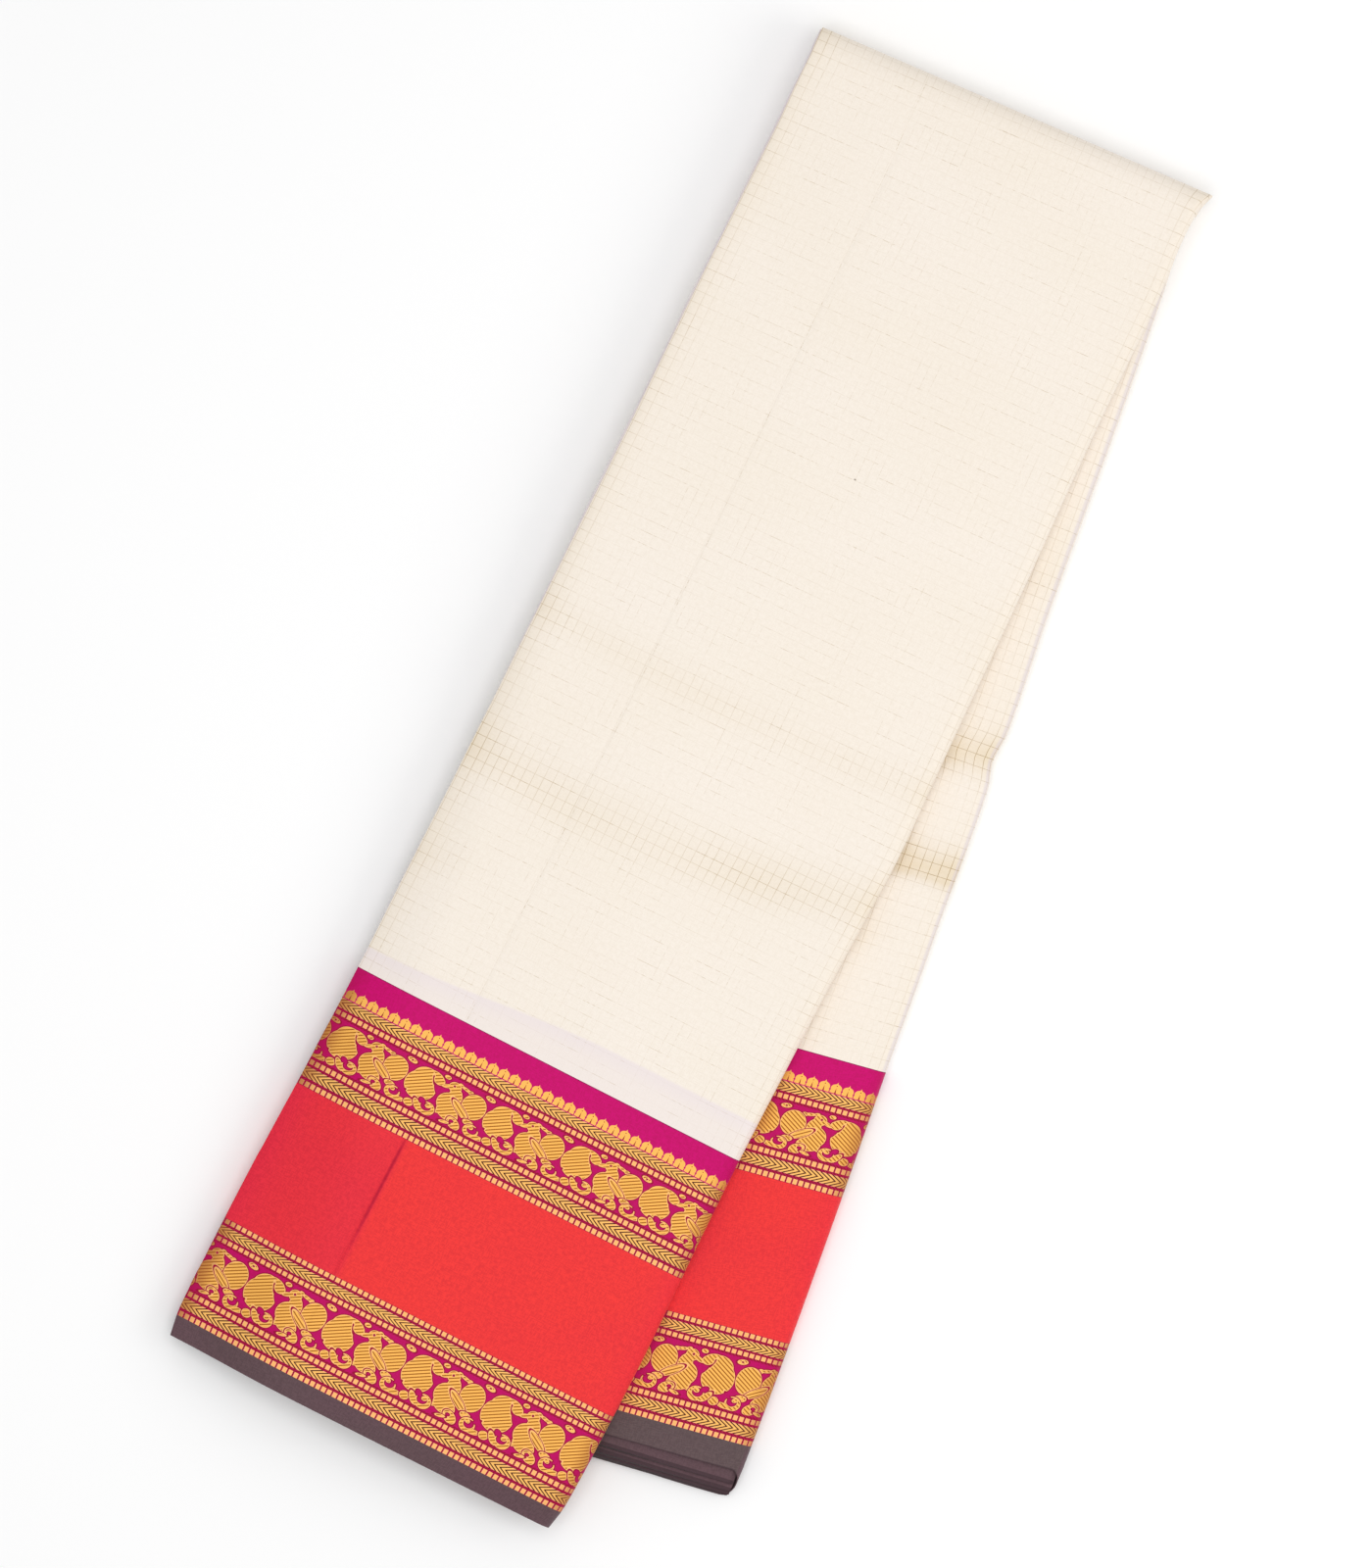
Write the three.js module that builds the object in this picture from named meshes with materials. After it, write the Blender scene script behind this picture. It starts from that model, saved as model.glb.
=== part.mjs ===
// A silk sari folded for the shelf. The cloth is folded lengthwise into a strip of many layers,
// and the strip is folded once across, so an upper leg lies fanned over a lower leg.
// Millimetres, +Z up, +Y towards the fold, the sari lying on the plane z = 0.

import * as THREE from 'three';

// ---------------------------------------------------------------- driving dimensions

const LEG_THICKNESS = 11;       // one leg: all the layers of the strip, lying flat
const WALL = 1.2;               // wall that stands for the outermost cloth
const SEAM = 0.3;               // clearance between neighbouring pieces
const SIDE_ROUND = 4.5;         // how far the folded right side of the strip rounds away
const FOLD_SIDE_ROUND = 3.5;    // the same where the strip turns over, pinched sharper
const BEND_INNER = 1;           // inner radius of the turn
const EDGE_SETBACK = 0.8;       // the outermost cloth stops short of the layers under it, at the left
const CORE_SIDE_CLEARANCE = 0.8; // extra room between the inner layers and the wrapped side
const FOOT_STEP = 10.3;         // at the lower foot each layer ends past the one above it, up to this

// Where the upper leg runs past the lower one, it sags to the floor.
const SAG_START = 14;           // distance past the lower leg's edge where the sag begins
const SAG_LENGTH = 52;          // distance over which it comes down

// Points across one face of the strip, and round its folded side.
const FACE_COLUMNS = 8;
const SIDE_STEPS = 4;

// Sections of the strip in plan, from the foot of the upper leg up to the fold.
// y: middle of the section; left, right: its ends; skew: y of the right end less the left end's;
// dip: depth of a soft trough that crosses the leg there.
const UPPER_LEG = [
  { y: -602.8, left: -123.0, right: 51.4, skew: -12.4, dip: 0 },
  { y: -592.0, left: -123.9, right: 54.0, skew: -12.2, dip: 0 },
  { y: -560.0, left: -121.9, right: 57.0, skew: -12.0, dip: 0 },
  { y: -520.0, left: -118.9, right: 59.9, skew: -11.9, dip: 0 },
  { y: -477.0, left: -114.9, right: 61.7, skew: -11.8, dip: 0 },
  { y: -433.8, left: -111.4, right: 64.0, skew: -11.7, dip: 0 },
  { y: -390.0, left: -108.7, right: 67.3, skew: -10.0, dip: 0 },
  { y: -348.0, left: -105.9, right: 70.6, skew: -8.5, dip: 0.4 },
  { y: -326.0, left: -104.7, right: 72.7, skew: -7.5, dip: 1.8 },
  { y: -304.0, left: -103.3, right: 74.8, skew: -7.0, dip: 0.3 },
  { y: -284.0, left: -102.3, right: 75.8, skew: -6.5, dip: 0.2 },
  { y: -264.0, left: -101.2, right: 76.2, skew: -6.0, dip: 1.2 },
  { y: -244.0, left: -100.2, right: 76.8, skew: -5.5, dip: 0 },
  { y: -180.0, left: -96.8, right: 79.0, skew: -4.0, dip: 0 },
  { y: -110.0, left: -93.4, right: 80.6, skew: -2.5, dip: 0 },
  { y: -45.0, left: -89.4, right: 83.2, skew: -1.0, dip: 0 },
];
const UPPER_JOIN_ROW = 5;       // where the border meets the field

// The turn of the strip over the fold line. turn: angle from the top; left, right: the ends.
const FOLD = [
  { turn: 0, left: -87.8, right: 84.2 },
  { turn: 30, left: -87.6, right: 85.4 },
  { turn: 60, left: -87.2, right: 87.0 },
  { turn: 90, left: -86.9, right: 87.8 },
  { turn: 120, left: -87.2, right: 87.0 },
  { turn: 150, left: -87.6, right: 85.4 },
  { turn: 180, left: -87.8, right: 84.2 },
];
const FOLD_SKEW = 1.2;

// The lower leg, from the fold down to its foot.
const LOWER_LEG = [
  { y: -46.0, left: -88.5, right: 85.0, skew: 2.0, dip: 0 },
  { y: -112.0, left: -85.6, right: 88.9, skew: 5.0, dip: 0 },
  { y: -184.0, left: -81.7, right: 92.8, skew: 8.0, dip: 0 },
  { y: -233.0, left: -78.3, right: 96.3, skew: 10.0, dip: 0 },
  { y: -256.0, left: -77.8, right: 95.9, skew: 12.0, dip: 1.1 },
  { y: -276.0, left: -75.5, right: 99.2, skew: 14.0, dip: 0.2 },
  { y: -294.0, left: -74.6, right: 100.2, skew: 16.0, dip: 0.6 },
  { y: -308.0, left: -73.8, right: 100.8, skew: 18.0, dip: 2.4 },
  { y: -324.0, left: -73.2, right: 101.5, skew: 19.0, dip: 0.3 },
  { y: -358.0, left: -71.2, right: 103.6, skew: 21.0, dip: 0 },
  { y: -394.5, left: -69.1, right: 105.5, skew: 23.0, dip: 0 },
  { y: -437.5, left: -66.4, right: 108.4, skew: 23.0, dip: 0 },
  { y: -481.0, left: -63.7, right: 111.1, skew: 23.0, dip: 0 },
  { y: -531.5, left: -60.7, right: 113.9, skew: 23.0, dip: 0 },
  { y: -567.5, left: -59.3, right: 115.5, skew: 23.0, dip: 0 },
];
const LOWER_JOIN_ROW = 10;      // where the field meets the border

// The bundles of layers that show at the edges, from the outer face of the strip to the inner one.
// side: how far a bundle stands out at the left; upperFoot, lowerFoot: its reach past the last section.
const BUNDLES = [
  { side: 0.0, upperFoot: -1.0, lowerFoot: 9.9 },
  { side: 0.9, upperFoot: -1.8, lowerFoot: 9.0 },
  { side: 0.2, upperFoot: -1.3, lowerFoot: 7.4 },
  { side: 1.1, upperFoot: -2.2, lowerFoot: 4.6 },
];
const BUNDLE_GROOVE = 1.5;      // depth of the groove between two bundles
const BUNDLE_ROUND = 0.4;       // height taken by the rounding of a bundle's edge

// ---------------------------------------------------------------- worked out from them

const FOLD_AXIS_Z = LEG_THICKNESS + SEAM / 2;
const FOLD_RADIUS = FOLD_AXIS_Z;
const LAYERS_TOP = LEG_THICKNESS - WALL - SEAM;
const LAYERS_BOTTOM = WALL + SEAM;

const lerp = THREE.MathUtils.lerp;
const smoothstep = THREE.MathUtils.smoothstep;

// A section of the strip: its ends in plan, and how it lies. sags: how far each column of the face
// has come down, 0 to 1. It is straight between columns, so every surface of the leg falls alike.
function legSection(row, turn) {
  return {
    left: new THREE.Vector2(row.left, row.y - row.skew / 2),
    right: new THREE.Vector2(row.right, row.y + row.skew / 2),
    turn,
    dip: row.dip,
    inner: SEAM / 2,
    sideRound: SIDE_ROUND,
    sags: new Array(FACE_COLUMNS).fill(0),
  };
}

function foldSection(row) {
  return {
    left: new THREE.Vector2(row.left, -FOLD_RADIUS - FOLD_SKEW / 2),
    right: new THREE.Vector2(row.right, -FOLD_RADIUS + FOLD_SKEW / 2),
    turn: THREE.MathUtils.degToRad(row.turn),
    dip: 0,
    inner: BEND_INNER,
    sideRound: FOLD_SIDE_ROUND,
    sags: new Array(FACE_COLUMNS).fill(0),
  };
}

// Where a column of the face lies across a section, as a distance from its left end.
function columnAcross(section, column) {
  const flat = section.left.distanceTo(section.right) - section.sideRound;
  return lerp(EDGE_SETBACK, flat, column / (FACE_COLUMNS - 1));
}

const upperSections = UPPER_LEG.map((row) => legSection(row, 0));
const foldSections = FOLD.map(foldSection);
const lowerSections = LOWER_LEG.map((row) => legSection(row, Math.PI));

// The upper leg comes down with its distance past the lower leg's left edge and foot.
const lowerTop = lowerSections[0];
const lowerFoot = lowerSections[lowerSections.length - 1];

function sagAt(x, y) {
  const along = (y - lowerTop.left.y) / (lowerFoot.left.y - lowerTop.left.y);
  const leftEdge = lerp(lowerTop.left.x, lowerFoot.left.x, along);
  const across = (x - lowerFoot.left.x) / (lowerFoot.right.x - lowerFoot.left.x);
  const footEdge = lerp(lowerFoot.left.y, lowerFoot.right.y, across) - FOOT_STEP;
  const past = Math.hypot(Math.max(leftEdge - x, 0), Math.max(footEdge - y, 0));
  return smoothstep(past, SAG_START, SAG_START + SAG_LENGTH);
}

for (const section of upperSections) {
  const width = section.left.distanceTo(section.right);
  section.sags = section.sags.map((_, column) => {
    const place = section.left.clone().lerp(section.right, columnAcross(section, column) / width);
    return sagAt(place.x, place.y);
  });
}

const SECTIONS = [...upperSections, ...foldSections, ...lowerSections];
const FOLD_START = UPPER_LEG.length;
const FOLD_END = FOLD_START + FOLD.length - 1;
const UPPER_JOIN = UPPER_JOIN_ROW;
const LOWER_JOIN = FOLD_END + 1 + LOWER_JOIN_ROW;
const LAST = SECTIONS.length - 1;

// The section at a distance from one section towards the next, or past it if the distance is negative.
function sectionBetween(from, towards, distance) {
  const t = distance / from.left.distanceTo(towards.left);
  return {
    left: from.left.clone().lerp(towards.left, t),
    right: from.right.clone().lerp(towards.right, t),
    turn: lerp(from.turn, towards.turn, t),
    dip: lerp(from.dip, towards.dip, t),
    inner: lerp(from.inner, towards.inner, t),
    sideRound: lerp(from.sideRound, towards.sideRound, t),
    sags: from.sags.map((sag, column) => lerp(sag, towards.sags[column], t)),
  };
}

// The sections from one index to another, the named ends moved in by a seam.
function stretch(first, last, trimFirst, trimLast) {
  const sections = SECTIONS.slice(first, last + 1);
  const end = sections.length - 1;
  if (trimFirst) sections[0] = sectionBetween(sections[0], sections[1], SEAM);
  if (trimLast) sections[end] = sectionBetween(sections[end], sections[end - 1], SEAM);
  return sections;
}

// A point of the strip. across: distance from the section's left end; height: from the strip's
// inner face (0) to its outer face.
function stripPoint(section, across, height) {
  const { left, right, turn, dip, inner, sags } = section;
  const place = left.clone().lerp(right, across / left.distanceTo(right));
  const radius = lerp(inner, FOLD_RADIUS, height / LEG_THICKNESS);
  const upright = turn === 0 ? height / LEG_THICKNESS : 1 - height / LEG_THICKNESS;
  const column = (across - columnAcross(section, 0)) / (columnAcross(section, 1) - columnAcross(section, 0));
  const cell = THREE.MathUtils.clamp(Math.floor(column), 0, FACE_COLUMNS - 2);
  const sag = Math.min(lerp(sags[cell], sags[cell + 1], column - cell), 1);
  return new THREE.Vector3(
    place.x,
    place.y + radius * Math.sin(turn),
    FOLD_AXIS_Z + radius * Math.cos(turn) - sag * (LEG_THICKNESS + SEAM) - dip * upright,
  );
}

// ---------------------------------------------------------------- closed solids from grids

// A solid with a grid of points on its two faces, and rings of points round the edge between them.
// point(row, column, ring) gives each point: ring 0 is one face, the last ring is the other.
// crossed: the last face's cells are split along the other diagonal than the first face's.
function layeredSolid(rows, columns, rings, crossed, point) {
  const positions = [];
  const index = new Map();
  const at = (row, column, ring) => {
    const key = (ring * rows + row) * columns + column;
    if (!index.has(key)) {
      index.set(key, positions.length / 3);
      positions.push(...point(row, column, ring).toArray());
    }
    return index.get(key);
  };
  const triangles = [];
  const quad = (a, b, c, d) => triangles.push(a, b, c, a, c, d);

  const lastRing = rings - 1;
  for (let row = 0; row < rows - 1; row++) {
    for (let column = 0; column < columns - 1; column++) {
      const corners = [[row, column], [row, column + 1], [row + 1, column + 1], [row + 1, column]];
      quad(...corners.map(([r, c]) => at(r, c, 0)));
      const [a, b, c, d] = corners.map(([r, c]) => at(r, c, lastRing));
      if (crossed) quad(d, c, b, a);
      else quad(a, d, c, b);
    }
  }

  const edge = [];
  for (let column = 0; column < columns - 1; column++) edge.push([0, column]);
  for (let row = 0; row < rows - 1; row++) edge.push([row, columns - 1]);
  for (let column = columns - 1; column > 0; column--) edge.push([rows - 1, column]);
  for (let row = rows - 1; row > 0; row--) edge.push([row, 0]);
  edge.forEach(([row, column], i) => {
    const [nextRow, nextColumn] = edge[(i + 1) % edge.length];
    for (let ring = 0; ring < lastRing; ring++) {
      quad(
        at(nextRow, nextColumn, ring),
        at(row, column, ring),
        at(row, column, ring + 1),
        at(nextRow, nextColumn, ring + 1),
      );
    }
  });

  const geometry = new THREE.BufferGeometry();
  geometry.setAttribute('position', new THREE.Float32BufferAttribute(positions, 3));
  geometry.setIndex(triangles);
  geometry.computeVertexNormals();
  return geometry;
}

// ---------------------------------------------------------------- the outermost cloth

// A point of the cloth that wraps the strip: over the outer face, round the folded side at the
// right, and back along the inner face. depth: how far inside the outer surface it lies.
const WRAP_COLUMNS = 2 * FACE_COLUMNS + SIDE_STEPS - 1;
const MIDDLE = LEG_THICKNESS / 2;

function wrapPlace(section, column, depth) {
  if (column < FACE_COLUMNS) {
    return { across: columnAcross(section, column), height: LEG_THICKNESS - depth };
  }
  if (column >= WRAP_COLUMNS - FACE_COLUMNS) {
    return { across: columnAcross(section, WRAP_COLUMNS - 1 - column), height: depth };
  }
  const angle = Math.PI * (0.5 - (column - FACE_COLUMNS + 1) / SIDE_STEPS);
  const flat = columnAcross(section, FACE_COLUMNS - 1);
  return {
    across: flat + (section.sideRound - depth) * Math.cos(angle),
    height: MIDDLE + (MIDDLE - depth) * Math.sin(angle),
  };
}

// The cloth over a stretch of sections. footStep: how far its last section's outer face runs past
// its inner one.
function wrapGeometry(sections, footStep = 0) {
  const end = sections.length - 1;
  return layeredSolid(sections.length, WRAP_COLUMNS, 2, false, (row, column, ring) => {
    const { across, height } = wrapPlace(sections[row], column, ring * WALL);
    const reach = row === end ? footStep * height / LEG_THICKNESS : 0;
    const section = reach > 0 ? sectionBetween(sections[end], sections[end - 1], -reach) : sections[row];
    return stripPoint(section, across, height);
  });
}

// ---------------------------------------------------------------- the layers inside

// Rings down the edge of the inner layers: each bundle stands out, with a groove after it.
function bundleRings() {
  const bundleHeight = (LAYERS_TOP - LAYERS_BOTTOM) / BUNDLES.length;
  const rings = [];
  BUNDLES.forEach((bundle, i) => {
    const top = LAYERS_TOP - i * bundleHeight;
    rings.push({ height: top, bundle, groove: BUNDLE_GROOVE });
    rings.push({ height: top - BUNDLE_ROUND, bundle, groove: 0 });
    rings.push({ height: top - bundleHeight + BUNDLE_ROUND, bundle, groove: 0 });
  });
  rings.push({ height: LAYERS_BOTTOM, bundle: BUNDLES[BUNDLES.length - 1], groove: BUNDLE_GROOVE });
  return rings;
}

// Their columns lie under the wrap's own, so that the two surfaces keep their clearance.
function hiddenLayersGeometry() {
  const rings = bundleRings();
  return layeredSolid(SECTIONS.length, FACE_COLUMNS, rings.length, true, (row, column, ring) => {
    const { height, bundle, groove } = rings[ring];
    let section = SECTIONS[row];
    if (row === 0) section = sectionBetween(section, SECTIONS[1], groove - bundle.upperFoot);
    if (row === LAST) section = sectionBetween(section, SECTIONS[LAST - 1], groove - bundle.lowerFoot);
    let across = columnAcross(section, column);
    if (column === 0) across = EDGE_SETBACK + groove - bundle.side;
    if (column === FACE_COLUMNS - 1) {
      const lean = (height - MIDDLE) / (MIDDLE - LAYERS_BOTTOM);
      const room = section.sideRound - LAYERS_BOTTOM - CORE_SIDE_CLEARANCE;
      across += room * Math.sqrt(Math.max(1 - lean * lean, 0));
    }
    return stripPoint(section, across, height);
  });
}

// ---------------------------------------------------------------- the sari

const cream = new THREE.MeshStandardMaterial({ color: 0xfaf0e2, roughness: 0.55, metalness: 0 });
const foldCream = new THREE.MeshStandardMaterial({ color: 0xf3e4cb, roughness: 0.6, metalness: 0 });
const borderRed = new THREE.MeshStandardMaterial({ color: 0xe8343c, roughness: 0.5, metalness: 0 });
const innerCream = new THREE.MeshStandardMaterial({ color: 0xeee2d6, roughness: 0.7, metalness: 0 });

const sari = new THREE.Group();

function addPiece(name, geometry, material) {
  const mesh = new THREE.Mesh(geometry, material);
  mesh.name = name;
  sari.add(mesh);
}

addPiece('upper_border', wrapGeometry(stretch(0, UPPER_JOIN, false, true)), borderRed);
addPiece('upper_field', wrapGeometry(stretch(UPPER_JOIN, FOLD_START, false, true)), cream);
addPiece('nose_fold', wrapGeometry(stretch(FOLD_START, FOLD_END, false, false)), foldCream);
addPiece('lower_field', wrapGeometry(stretch(FOLD_END, LOWER_JOIN, true, false)), cream);
addPiece('lower_border', wrapGeometry(stretch(LOWER_JOIN, LAST, true, false), FOOT_STEP), borderRed);
addPiece('hidden_layers', hiddenLayersGeometry(), innerCream);

// The origin is under the middle of the sari, on the surface it lies on.
const extent = new THREE.Box3().setFromObject(sari);
const middle = extent.getCenter(new THREE.Vector3());
sari.position.set(-middle.x, -middle.y, 0);

export default sari;
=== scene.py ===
"""A folded silk sari: its woven cloth, the layers folded inside it and a plain stage.

The cloth is laid out along one path: up the upper leg from its foot, over the fold, and down the
lower leg to its foot. Sizes here are in millimetres, and meshes are written in metres.
"""

import math
from collections import namedtuple

import bmesh
import bpy
from bpy.props import FloatProperty, FloatVectorProperty, IntProperty, PointerProperty
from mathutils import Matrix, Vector, noise


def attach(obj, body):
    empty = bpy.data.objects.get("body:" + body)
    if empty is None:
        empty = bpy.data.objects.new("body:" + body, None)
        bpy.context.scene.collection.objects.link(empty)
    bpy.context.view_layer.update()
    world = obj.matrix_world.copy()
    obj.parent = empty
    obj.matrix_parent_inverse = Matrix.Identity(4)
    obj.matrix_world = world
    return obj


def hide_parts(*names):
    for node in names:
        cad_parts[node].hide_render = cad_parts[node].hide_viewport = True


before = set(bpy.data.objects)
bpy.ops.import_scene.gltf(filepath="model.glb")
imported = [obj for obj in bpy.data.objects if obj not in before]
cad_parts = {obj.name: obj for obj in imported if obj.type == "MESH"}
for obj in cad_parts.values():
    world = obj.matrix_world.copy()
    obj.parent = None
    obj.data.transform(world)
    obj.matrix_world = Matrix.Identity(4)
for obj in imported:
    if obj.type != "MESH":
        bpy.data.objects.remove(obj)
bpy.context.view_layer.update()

bl_info = {
    "name": "Folded Silk Sari",
    "version": (1, 0, 0),
    "blender": (4, 5, 0),
    "location": "View3D > Sidebar > Sari",
    "description": "Builds a folded silk sari with a checked field and a woven border",
    "category": "Object",
}

MM = 0.001
BODY = "root"

# ---------------------------------------------------------------- sizes of the folded strip

THICKNESS = 11.0  # one leg, all its layers
SEAM = 0.3  # between the two legs
SIDE_ROUND = 4.5  # how far the folded right side rounds away
FOLD_SIDE_ROUND = 3.5
BEND_INNER = 1.0  # inner radius of the turn
FOOT_STEP = 10.3  # the lowest layer's reach past the top one at the lower foot
SAG_START = 14.0
SAG_LENGTH = 52.0
AXIS_Z = THICKNESS + SEAM / 2
STRIP_WIDTH = 174.6
CLOTH_WALL = 0.35  # the outermost cloth


def rows_of(kind, *rows):
    return [kind(*row) for row in rows]


# Sections of each leg in plan: y of the middle, x of both ends, and how much further up the
# right end lies than the left one.
Section = namedtuple("Section", "y left right skew")
UPPER_LEG = rows_of(
    Section,
    (-603.3, -123.0, 51.4, -11.4),
    (-592.0, -123.9, 54.0, -12.2),
    (-560.0, -121.9, 57.0, -12.0),
    (-520.0, -118.9, 59.9, -11.9),
    (-477.0, -114.9, 61.7, -11.8),
    (-433.8, -111.4, 64.0, -11.7),
    (-390.0, -108.7, 67.3, -10.0),
    (-348.0, -105.9, 70.6, -8.5),
    (-326.0, -104.7, 72.7, -7.5),
    (-304.0, -103.3, 74.8, -7.0),
    (-284.0, -102.3, 75.8, -6.5),
    (-244.0, -100.2, 76.8, -5.5),
    (-180.0, -96.8, 79.0, -4.0),
    (-110.0, -93.4, 80.6, -2.5),
    (-45.0, -89.6, 83.2, -1.0),
    (-24.0, -89.0, 82.6, 0.2),
    (-AXIS_Z, -88.3, 82.6, 1.0),
)
LOWER_LEG = rows_of(
    Section,
    (-AXIS_Z, -88.3, 82.6, 1.0),
    (-26.0, -88.2, 82.7, 1.5),
    (-46.0, -88.5, 84.6, 2.0),
    (-112.0, -85.6, 88.9, 5.0),
    (-184.0, -81.7, 92.8, 8.0),
    (-240.0, -78.0, 96.7, 10.5),
    (-254.0, -77.6, 95.6, 11.7),
    (-265.0, -76.4, 98.2, 13.0),
    (-294.0, -74.6, 100.2, 16.0),
    (-308.0, -73.8, 100.8, 18.0),
    (-324.0, -73.2, 101.5, 19.0),
    (-358.0, -71.2, 103.6, 21.0),
    (-394.5, -69.1, 105.5, 23.0),
    (-437.5, -66.4, 108.4, 23.0),
    (-481.0, -63.7, 111.1, 23.0),
    (-531.5, -60.7, 113.9, 23.0),
    (-567.5, -59.3, 115.5, 23.0),
)
TIP = Section(-AXIS_Z, -88.3, 83.0, 0.4)  # the ends at the tip of the fold
TIP_POINT = 4.1  # the right corner of the fold runs out to a point
TIP_POINT_FALL = 7.5
TIP_POINT_WIDTH = 12.0
TIP_FULLNESS = 0.78  # below 1, the fold is flatter on top and turns more tightly
TIP_CORNERS = (1.8, 0.7)  # how far the outermost cloth runs out at the fold's left and right

UPPER_LENGTH = UPPER_LEG[-1].y - UPPER_LEG[0].y
TURN_LENGTH = math.pi * AXIS_Z
LOWER_LENGTH = LOWER_LEG[0].y - LOWER_LEG[-1].y
TURN_START = UPPER_LENGTH
TURN_END = UPPER_LENGTH + TURN_LENGTH
PATH_END = TURN_END + LOWER_LENGTH
UPPER_JOIN = -433.8 - UPPER_LEG[0].y  # where the border meets the field, as path lengths
LOWER_JOIN = TURN_END + LOWER_LEG[0].y + 394.5
BORDER_DEPTH = 170.0
LOWER_DEPTH = 171.2  # the part of it above the lower foot's topmost edge

# Soft creases. Each crosses a leg from one end to the other and bows between them.
Crease = namedtuple("Crease", "x0 y0 x1 y1 bow depth above below fade")
UPPER_CREASES = rows_of(
    Crease,
    (-108, -261, 78, -272, -5, 1.1, 8, 7, 0.0),
    (-108, -325, 78, -320, -13, 1.9, 15, 10, 0.0),
    (-112, -296, 80, -296, 0, -0.7, 12, 12, 0.2),
    (-118, -377, -76, -371, -1, 0.8, 9, 5, 0.5),
    (-100, -206, 30, -214, -3, 0.3, 14, 9, 0.6),
    (-20, -120, 90, -96, 3, 0.35, 12, 8, 0.6),
    (-112, -420, 66, -428, 3, 0.25, 10, 8, 0.4),
    (-124, -500, -60, -520, 2, 0.45, 8, 9, 0.5),
    (10, -540, 60, -515, -2, 0.35, 8, 6, 0.5),
)
LOWER_CREASES = rows_of(
    Crease,
    (60, -262, 100, -246, 3, 2.3, 11, 8, 0.2),
    (60, -306, 108, -301, 2, 3.6, 12, 3.2, 0.0),
    (60, -278, 108, -276, 0, -0.6, 9, 9, 0.0),
    (62, -346, 90, -326, 2, 1.2, 9, 6, 0.6),
    (70, -180, 100, -168, 1, 0.4, 8, 6, 0.4),
    (60, -478, 120, -466, 0, 0.4, 9, 9, 0.3),
)
# The same kind of creases on the upper leg's underside, where it lies free of the lower leg.
UNDER_CREASES = rows_of(
    Crease,
    (-120, -300, -60, -290, 2, 0.8, 10, 7, 0.3),
    (-124, -470, -50, -480, -3, 0.6, 9, 9, 0.3),
)


def smooth(edge0, edge1, x):
    t = min(max((x - edge0) / (edge1 - edge0), 0.0), 1.0)
    return t * t * (3 - 2 * t)


def lerp(a, b, t):
    return a + (b - a) * t


def section_at(table, y):
    """The leg's section at a y, on smooth curves through the table's rows."""
    rows = table if table[0].y > table[-1].y else table[::-1]
    last = len(rows) - 1
    i = next((k for k in range(last) if y >= rows[k + 1].y), last - 1)
    before, start, end, after = rows[max(i - 1, 0)], rows[i], rows[i + 1], rows[min(i + 2, last)]
    span = end.y - start.y
    t = (y - start.y) / span

    def curve(name):
        a, b, c, d = (getattr(row, name) for row in (before, start, end, after))
        slope_in = (c - a) / (end.y - before.y) * span
        slope_out = (d - b) / (after.y - start.y) * span
        t2, t3 = t * t, t * t * t
        return (
            (2 * t3 - 3 * t2 + 1) * b
            + (t3 - 2 * t2 + t) * slope_in
            + (3 * t2 - 2 * t3) * c
            + (t3 - t2) * slope_out
        )

    return Section(y, curve("left"), curve("right"), curve("skew"))


def sag_at(x, y):
    """How far the upper leg has come down past the lower leg's edge, 0 to 1."""
    top, foot = LOWER_LEG[0], LOWER_LEG[-1]
    left_edge = lerp(top.left, foot.left, (y - top.y) / (foot.y - top.y))
    foot_edge = foot.y + foot.skew * ((x - foot.left) / (foot.right - foot.left) - 0.5) - FOOT_STEP
    past = math.hypot(max(left_edge - x, 0), max(foot_edge - y, 0))
    return smooth(SAG_START, SAG_START + SAG_LENGTH, past)


def crease_depth(creases, x, y):
    """The depth of all the creases at a place in plan."""
    depth = 0.0
    for c in creases:
        t = (x - c.x0) / (c.x1 - c.x0)
        if t < -0.2 or t > 1.2:
            continue
        middle = lerp(c.y0, c.y1, t) + c.bow * 4 * t * (1 - t)
        offset = y - middle
        reach = c.above if offset > 0 else c.below
        ends = 1.0
        if c.fade > 0:
            ends = smooth(-0.2, c.fade, t) * smooth(-0.2, c.fade, 1 - t)
        uneven = 0.8 + 0.4 * noise.noise(Vector((x * 0.02, c.y0, 3.1)))
        depth += c.depth * ends * uneven * math.exp(-((offset / reach) ** 2))
    return depth


LONG_CREASE_ACROSS = 50.0  # the pressed crease along the upper leg, from its left edge
LONG_CREASE_ZONE = 5.0  # the cloth on each side of it that has narrow columns


def long_crease_press(y):
    """How sharply the long crease is pressed, most of all in the plain part of the border."""
    return 0.3 + 0.7 * smooth(-470, -490, y) - 0.6 * smooth(-535, -562, y)


LEFT_ROLL, RIGHT_ROLL = 2.5, 6.0  # how far in from each edge the cloth rolls
OPEN_LEG = -34.0  # from here down, the cloth is free of the fold


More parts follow.
